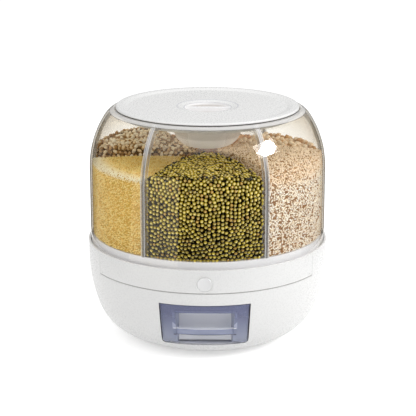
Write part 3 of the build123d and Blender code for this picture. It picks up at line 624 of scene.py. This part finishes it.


# Grain: each heap is a core with single grains lying over its top and against the clear wall

# tones run from the deepest one, painted shade between the grains that also colours their specks,
# over dark and middle to light
grainKinds = {
    "mung_bean_fill": {
        "piece": "mung_beans", "slot": "mung_beans", "seed": 3, "layers": 2, "bean": True,
        "spacing": 0.0031, "radius": 0.00212, "stretch": (1.10, 0.97, 0.98),
        "vary": 0.10, "tilt": 0.8, "relax": 60, "rough": 1.1,
        "shadeAndSpeck": (0.012, 0.009, 0.001), "dark": (0.52, 0.29, 0.03),
        "middle": (0.31, 0.22, 0.010), "light": (0.66, 0.49, 0.030), "darkShare": 0.05,
        "core": (0.005, 0.004, 0.001), "roughness": 0.26, "shine": 0.7,
        # glint is the colour of a painted highlight on each bean
        "glow": 0.12, "rim": 0.96, "glint": (1.0, 0.88, 0.36),
    },
    "wheat_fill": {
        "piece": "wheat_grains", "slot": "wheat", "seed": 5, "layers": 1, "bean": False,
        "spacing": 0.00150, "radius": 0.00115, "stretch": (1.35, 0.95, 0.95),
        "vary": 0.15, "tilt": 0.6, "relax": 0, "rough": 0.7,
        "shadeAndSpeck": (0.46, 0.26, 0.12), "dark": (0.30, 0.14, 0.05),
        "middle": (0.99, 0.90, 0.70), "light": (1.0, 1.0, 0.93), "darkShare": 0.12,
        "core": (0.44, 0.25, 0.11), "roughness": 0.5, "shine": 0.5,
        "glow": 0.17, "rim": 0.50,
        # warmer on top of the heap
        "lip": (0.84, 0.57, 0.30), "lipShare": 0.42,
        "lipRadius": (0.0, 0.01), "lipHeight": (0.178, 0.192),
    },
    "soybean_fill": {
        "piece": "soybeans", "slot": "soybeans", "seed": 7, "layers": 2, "bean": True,
        "spacing": 0.0056, "radius": 0.0034, "stretch": (1.08, 0.98, 0.97),
        "vary": 0.12, "tilt": 0.8, "relax": 24, "rough": 0.9,
        "shadeAndSpeck": (0.62, 0.38, 0.19), "dark": (0.86, 0.60, 0.36),
        "middle": (0.96, 0.74, 0.49), "light": (1.0, 0.88, 0.68), "darkShare": 0.15,
        "core": (0.48, 0.28, 0.13), "roughness": 0.4, "shine": 0.5,
        "glow": 0.06, "rim": 0.2,
    },
    "red_lentil_fill": {
        "piece": "red_lentils", "slot": "red_lentils", "seed": 11, "layers": 1, "bean": False,
        "spacing": 0.0032, "radius": 0.0021, "stretch": (1.0, 1.0, 0.6),
        "vary": 0.12, "tilt": 0.6, "relax": 0, "rough": 0.0,
        "shadeAndSpeck": (0.50, 0.22, 0.09), "dark": (0.66, 0.30, 0.13),
        "middle": (0.86, 0.47, 0.22), "light": (0.95, 0.62, 0.34), "darkShare": 0.15,
        "core": (0.50, 0.22, 0.09), "roughness": 0.5, "shine": 0.5,
        "glow": 0.06, "rim": 0.0,
    },
    "oat_fill": {
        "piece": "oat_grains", "slot": "oats", "seed": 13, "layers": 2, "bean": False,
        "spacing": 0.0043, "radius": 0.0022, "stretch": (1.65, 1.0, 0.95),
        "vary": 0.18, "tilt": 0.9, "relax": 16, "rough": 1.3,
        "shadeAndSpeck": (0.36, 0.21, 0.08), "dark": (0.70, 0.46, 0.22),
        "middle": (0.98, 0.78, 0.47), "light": (1.0, 0.94, 0.74), "darkShare": 0.2,
        "core": (0.20, 0.11, 0.04), "roughness": 0.45, "shine": 0.6,
        "glow": 0.20, "rim": 0.45,
    },
    "millet_fill": {
        "piece": "millet_grains", "slot": "millet", "seed": 17, "layers": 1, "bean": False,
        "spacing": 0.0014, "radius": 0.00095, "stretch": (1.0, 1.0, 1.0),
        "vary": 0.12, "tilt": 1.0, "relax": 0, "rough": 0.0,
        "shadeAndSpeck": (0.80, 0.51, 0.11), "dark": (0.84, 0.54, 0.12),
        "middle": (0.98, 0.73, 0.22), "light": (1.0, 0.86, 0.38), "darkShare": 0.14,
        "core": (0.84, 0.54, 0.11), "roughness": 0.5, "shine": 0.5,
        "glow": 0.06, "rim": 0.12,
        # painted highlight along the front edge of the heap: from and to radius, from and to
        # height
        "lip": (1.0, 0.95, 0.72), "lipShare": 0.9,
        "lipRadius": (0.103, 0.119), "lipHeight": (0.1875, 0.1915),
    },
}

# the attribute grainTone lies below "under" on grains of the lower layer, which take the painted
# shade colour, and above "top" on grains that show
grainLook = {
    "under": 0.2, "top": 0.25, "shineFrom": 0.26, "toneBlend": 0.08,
    # specks, in grains, and where and how strongly they show
    "speckSize": 0.8, "speckDetail": 2.0, "speckShare": 0.3, "speckSpan": (0.4, 0.75),
    "bump": 0.15, "bumpDepth": 0.2,
    # heights on a grain, in radii, up to which it is darkened with painted shade and from which it
    # takes a painted highlight
    "rimSpan": (0.0, 0.8), "glintSpan": (0.70, 1.0),
}
coreLook = {"shade": 0.6, "roughness": 0.9, "bump": 0.5, "shine": 0.0}
heapLook = {
    # a grain on the sides shows only above this height or outside this radius
    "sideLow": 0.186, "wallNear": 0.112,
    # how much a surface faces outwards or upwards to count as wall or top
    "facesWall": 0.6, "facesUp": 0.3,
    "density": 900000.0,
    # relaxing: distance wanted, in spacings, and the share of what lacks made up in one step
    "wanted": 1.26, "step": 0.4,
    # how deep, in radii, the layers and the core lie; the core by the number of layers
    "topDepth": 1.0, "underDepth": 1.55, "coreDepth": {1: 1.15, 2: 1.65}, "underSeed": 100.0,
    "ballSegments": 8, "ballRings": 4, "ballSubdivisions": 1,
    "weld": 1e-5,
}


def grainMaterial(name, kind):
    look = grainLook
    material, tree = newMaterial(name)
    tone, height = (addNode(tree, "ShaderNodeAttribute", attribute_name=label).outputs["Fac"]
                    for label in ("grainTone", "grainHeight"))
    share = look["top"] + (1.0 - look["top"]) * kind["darkShare"]
    colour = ramp(tree, tone, (
        (look["under"], kind["shadeAndSpeck"]), (look["top"], kind["dark"]), (share, kind["dark"]),
        (share + look["toneBlend"], kind["middle"]), (1.0, kind["light"])))
    speck = objectNoise(tree, look["speckSize"] / kind["radius"], look["speckDetail"])
    specked = spreadOver(tree, speck, 0.0, look["speckShare"], *look["speckSpan"])
    colour = blend(tree, specked, colour, kind["shadeAndSpeck"])
    # painted shade down the sides of each grain, where it meets its neighbours
    rim = spreadOver(tree, height, kind["rim"], 0.0, *look["rimSpan"])
    colour = blend(tree, rim, colour, kind["shadeAndSpeck"])
    # painted highlight near the top of each grain
    if "glint" in kind:
        glint = spreadOver(tree, height, 0.0, 1.0, *look["glintSpan"])
        colour = blend(tree, glint, colour, kind["glint"])
    # a band of another colour by radius and height: a painted highlight on the millet's front
    # edge, a warmer top on the wheat
    if "lip" in kind:
        x, y, z = objectAxes(tree)
        radius = maths(tree, "SQRT", squaredRadius(tree, x, y))
        near = spreadOver(tree, radius, 0.0, kind["lipShare"], *kind["lipRadius"])
        high = spreadOver(tree, z, 0.0, 1.0, *kind["lipHeight"])
        colour = blend(tree, maths(tree, "MULTIPLY", near, high), colour, kind["lip"])
    # no shine on the grains below, which stand in painted shade; the glow is painted light, an
    # emission that brightens the grains
    shine = spreadOver(tree, tone, 0.0, kind["shine"], look["under"], look["shineFrom"])
    shader = addNode(tree, "ShaderNodeBsdfPrincipled", {
        "Roughness": kind["roughness"], "Specular IOR Level": shine, "Base Color": colour,
        "Emission Color": colour, "Emission Strength": kind["glow"],
        "Normal": bumped(tree, speck, look["bump"], kind["radius"] * look["bumpDepth"]),
    })
    return finished(material, shader)


def coreMaterial(name, kind):
    # the core is coloured darker than its grains, as painted shade between them
    shade = tuple(part * coreLook["shade"] for part in kind["core"])
    return solidMaterial(name, {
        **coreLook, "colour": kind["core"], "shade": shade, "grainSize": 1.0 / kind["radius"]})


def heapTree(name, layers, bean):
    # core pulled in under its grains, grains scattered over its top, its wall and the upper
    # part of its sides
    look = heapLook
    tree = newTree(name, {
        "Geometry": ("Geometry",),
        "Float": ("Radius", "Spacing", "Vary", "Tilt", "Rough", "SideLow", "WallNear"),
        "Vector": ("Stretch",),
        "Int": ("Seed", "Relax"),
        "Material": ("Grain", "Core"),
    })

    def add(kind, inputs=None, **values):
        return addNode(tree, kind, inputs, **values)

    source = add("NodeGroupInput").outputs
    normal = add("GeometryNodeInputNormal").outputs[0]
    place = add("GeometryNodeInputPosition").outputs[0]
    join = add("GeometryNodeJoinGeometry")

    def pulledIn(share):
        depth = maths(tree, "MULTIPLY", source["Radius"], -share)
        inward = vectors(tree, "SCALE", normal, scale=depth)
        moved = add("GeometryNodeSetPosition", {"Geometry": source["Geometry"], "Offset": inward})
        return moved.outputs[0]

    def above(value, limit):
        test = add("FunctionNodeCompare", {0: value, 1: limit}, operation="GREATER_THAN")
        return test.outputs[0]

    def upward(vector):
        return add("ShaderNodeSeparateXYZ", {0: vector}).outputs["Z"]

    def logic(operation, *tests):
        test = add("FunctionNodeBooleanMath", dict(enumerate(tests)), operation=operation)
        return test.outputs[0]

    def hidden(facing):
        # points on the sides that neither lie near the wall nor stand above the next heap
        flat = vectors(tree, "MULTIPLY", place, (1.0, 1.0, 0.0))
        turned = vectors(tree, "DOT_PRODUCT", facing, vectors(tree, "NORMALIZE", flat))
        onWall, onTop = above(turned, look["facesWall"]), above(upward(facing), look["facesUp"])
        shown = logic("OR", onWall, onTop)
        shown = logic("OR", shown, above(upward(place), source["SideLow"]))
        shown = logic("OR", shown, above(vectors(tree, "LENGTH", flat), source["WallNear"]))
        return logic("NOT", shown)

    def grainShape(fine):
        if fine:
            ball = add("GeometryNodeMeshUVSphere", {
                "Segments": look["ballSegments"], "Rings": look["ballRings"],
                "Radius": source["Radius"]})
        else:
            ball = add("GeometryNodeMeshIcoSphere", {
                "Subdivisions": look["ballSubdivisions"], "Radius": source["Radius"]})
        smooth = add("GeometryNodeSetShadeSmooth", {"Geometry": ball.outputs["Mesh"]}).outputs[0]
        grain = add("GeometryNodeTransform", {"Geometry": smooth, "Scale": source["Stretch"]})
        return grain.outputs[0]

    def evened(points, surface):
        # each point moves off its nearest neighbour, Relax times over, and back onto the surface
        first = add("GeometryNodeRepeatInput")
        last = add("GeometryNodeRepeatOutput")
        first.pair_with_output(last)
        feed(tree, first, {"Iterations": source["Relax"], "Geometry": points})
        nearest = add("GeometryNodeIndexOfNearest").outputs["Index"]
        other = add("GeometryNodeFieldAtIndex", {"Index": nearest, "Value": place},
                    data_type="FLOAT_VECTOR", domain="POINT").outputs[0]
        gap = vectors(tree, "SUBTRACT", place, other)
        wanted = maths(tree, "MULTIPLY", source["Spacing"], look["wanted"])
        short = maths(tree, "SUBTRACT", wanted, vectors(tree, "LENGTH", gap))
        some = maths(tree, "MULTIPLY", short, look["step"], clamp=True)
        push = vectors(tree, "SCALE", vectors(tree, "NORMALIZE", gap), scale=some)
        there = vectors(tree, "ADD", place, push)
        back = add("GeometryNodeProximity", {0: surface, "Sample Position": there},
                   target_element="FACES").outputs["Position"]
        moved = add("GeometryNodeSetPosition", {
            "Geometry": first.outputs["Geometry"], "Position": back})
        feed(tree, last, {"Geometry": moved.outputs[0]})
        return last.outputs["Geometry"]

    def stored(geometry, label, value, kind):
        keep = add("GeometryNodeStoreNamedAttribute",
                   {"Name": label, "Geometry": geometry, "Value": value},
                   data_type=kind, domain="POINT")
        return keep.outputs[0]

    def named(label):
        read = add("GeometryNodeInputNamedAttribute", {"Name": label}, data_type="FLOAT_VECTOR")
        return read.outputs["Attribute"]

    def randomNumber(least, most, seed):
        inputs = {2: least, 3: most, "Seed": seed}
        return add("FunctionNodeRandomValue", inputs, data_type="FLOAT").outputs[1]

    def withHeight(grains):
        # how far each spot of a grain stands out from its middle, in radii
        off = vectors(tree, "SUBTRACT", place, named("grainMiddle"))
        along = vectors(tree, "DOT_PRODUCT", off, named("grainOutward"))
        height = maths(tree, "DIVIDE", along, source["Radius"])
        grains = stored(grains, "grainHeight", height, "FLOAT")
        for label in ("grainMiddle", "grainOutward"):
            drop = add("GeometryNodeRemoveAttribute", {"Name": label, "Geometry": grains})
            grains = drop.outputs[0]
        return grains

    def grainLayer(grain, share, seedShift, darkest, lightest):
        seed = maths(tree, "ADD", source["Seed"], seedShift)
        surface = pulledIn(share)
        scatter = add("GeometryNodeDistributePointsOnFaces", distribute_method="POISSON")
        feed(tree, scatter, {
            "Mesh": surface, "Distance Min": source["Spacing"],
            "Density Max": look["density"], "Seed": seed})
        facing = scatter.outputs["Normal"]
        chosen = add("GeometryNodeDeleteGeometry", {
            "Geometry": evened(scatter.outputs["Points"], surface), "Selection": hidden(facing),
        }, domain="POINT")
        # on top of the heap the grains lie at uneven depths
        deepest = maths(tree, "MULTIPLY", source["Radius"], source["Rough"])
        sink = maths(tree, "MULTIPLY", randomNumber(-1.0, 0.0, seed), deepest)
        settled = add("GeometryNodeSetPosition", {
            "Geometry": chosen.outputs[0], "Selection": above(upward(facing), look["facesUp"]),
            "Offset": vectors(tree, "SCALE", facing, scale=sink)})
        tone = randomNumber(darkest, lightest, seed)
        points = stored(settled.outputs[0], "grainTone", tone, "FLOAT")
        points = stored(points, "grainMiddle", place, "FLOAT_VECTOR")
        points = stored(points, "grainOutward", facing, "FLOAT_VECTOR")
        # lies along the surface, spun at random and tipped by up to Tilt
        tip = add("ShaderNodeCombineXYZ", {
            "X": source["Tilt"], "Y": source["Tilt"], "Z": math.tau}).outputs[0]
        tipBack = vectors(tree, "MULTIPLY", tip, (-1.0, -1.0, 0.0))
        turn = add("FunctionNodeRandomValue", {"Min": tipBack, "Max": tip, "Seed": seed},
                   data_type="FLOAT_VECTOR").outputs[0]
        euler = add("FunctionNodeEulerToRotation", {0: turn}).outputs[0]
        lying = add("FunctionNodeRotateRotation",
                    {"Rotation": scatter.outputs["Rotation"], "Rotate By": euler},
                    rotation_space="LOCAL").outputs[0]
        size = randomNumber(maths(tree, "SUBTRACT", 1.0, source["Vary"]), 1.0, seed)
        grains = add("GeometryNodeInstanceOnPoints", {
            "Points": points, "Instance": grain, "Rotation": lying, "Scale": size}).outputs[0]
        real = add("GeometryNodeRealizeInstances", {"Geometry": grains}).outputs[0]
        painted = add("GeometryNodeSetMaterial", {
            "Geometry": withHeight(real), "Material": source["Grain"]})
        feed(tree, join, {0: painted.outputs[0]})

    grainLayer(grainShape(bean), look["topDepth"], 0.0, grainLook["top"], 1.0)
    if layers == 2:
        grainLayer(grainShape(False), look["underDepth"], look["underSeed"],
                   0.0, grainLook["under"])
    core = add("GeometryNodeSetMaterial", {
        "Geometry": pulledIn(look["coreDepth"][layers]), "Material": source["Core"]})
    feed(tree, join, {0: core.outputs[0]})
    add("NodeGroupOutput", {"Geometry": join.outputs[0]})
    return tree


def mergedCopy(nodeName, pieceName):
    mesh = nodes[nodeName].data.copy()
    mesh.name = pieceName
    mesh.materials.clear()
    shape = bmesh.new()
    shape.from_mesh(mesh)
    bmesh.ops.remove_doubles(shape, verts=shape.verts, dist=heapLook["weld"])
    for face in shape.faces:
        face.smooth = True
    shape.to_mesh(mesh)
    shape.free()
    piece = bpy.data.objects.new(pieceName, mesh)
    bpy.context.collection.objects.link(piece)
    return piece


def makeHeap(nodeName, kind):
    piece = mergedCopy(nodeName, kind["piece"])
    tree = heapTree(kind["piece"] + "Tree", kind["layers"], kind["bean"])
    growMesh(piece, "grains", tree, {
        "Radius": kind["radius"], "Spacing": kind["spacing"], "Vary": kind["vary"],
        "Tilt": kind["tilt"], "Rough": kind["rough"], "Stretch": kind["stretch"],
        "Seed": kind["seed"], "Relax": kind["relax"],
        "SideLow": heapLook["sideLow"], "WallNear": heapLook["wallNear"],
        "Grain": grainMaterial(kind["piece"], kind),
        "Core": coreMaterial(kind["piece"] + "Core", kind),
    })
    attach(piece, "barrel")
    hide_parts(nodeName)
    print(kind["piece"], len(piece.data.polygons), "faces")


for nodeName, kind in grainKinds.items():
    makeHeap(nodeName, kind)

# Coil spring behind the push button

springCoil = {
    "front": -0.1170, "back": -0.1025, "height": 0.0915, "radius": 0.0052, "wire": 0.0004,
    "turns": 6.0, "resolution": 20, "sides": 8, "pressed": 0.31,
}


def springTree(name, settings):
    tree = newTree(name, {
        "Geometry": ("Geometry",),
        "Float": ("Radius", "Wire", "Length", "Turns"),
        "Vector": ("Place",),
        "Material": ("Steel",),
    })
    source = addNode(tree, "NodeGroupInput").outputs
    coil = addNode(tree, "GeometryNodeCurveSpiral", {
        "Resolution": settings["resolution"], "Rotations": source["Turns"],
        "Start Radius": source["Radius"], "End Radius": source["Radius"],
        "Height": source["Length"]})
    section = addNode(tree, "GeometryNodeCurvePrimitiveCircle", {
        "Resolution": settings["sides"], "Radius": source["Wire"]})
    wire = addNode(tree, "GeometryNodeCurveToMesh", {
        "Curve": coil.outputs[0], "Profile Curve": section.outputs[0], "Fill Caps": True})
    laid = addNode(tree, "GeometryNodeTransform", {
        "Geometry": wire.outputs[0], "Translation": source["Place"],
        "Rotation": (-math.pi / 2, 0.0, 0.0)})
    smooth = addNode(tree, "GeometryNodeSetShadeSmooth", {"Geometry": laid.outputs[0]})
    real = addNode(tree, "GeometryNodeRealizeInstances", {"Geometry": smooth.outputs[0]})
    steel = addNode(tree, "GeometryNodeSetMaterial", {
        "Geometry": real.outputs[0], "Material": source["Steel"]})
    addNode(tree, "NodeGroupOutput", {"Geometry": steel.outputs[0]})
    return tree


def makeSpring(settings):
    piece = bpy.data.objects.new("button_coil", bpy.data.meshes.new("button_coil"))
    bpy.context.collection.objects.link(piece)
    growMesh(piece, "coil", springTree("buttonCoilTree", settings), {
        "Radius": settings["radius"], "Wire": settings["wire"], "Turns": settings["turns"],
        "Length": settings["back"] - settings["front"] - 2 * settings["wire"],
        "Place": (0.0, settings["front"] + settings["wire"], settings["height"]),
        "Steel": finishes["steel"],
    })
    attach(piece, "base")
    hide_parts("button_spring")
    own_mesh(piece)


makeSpring(springCoil)
print("spring made")
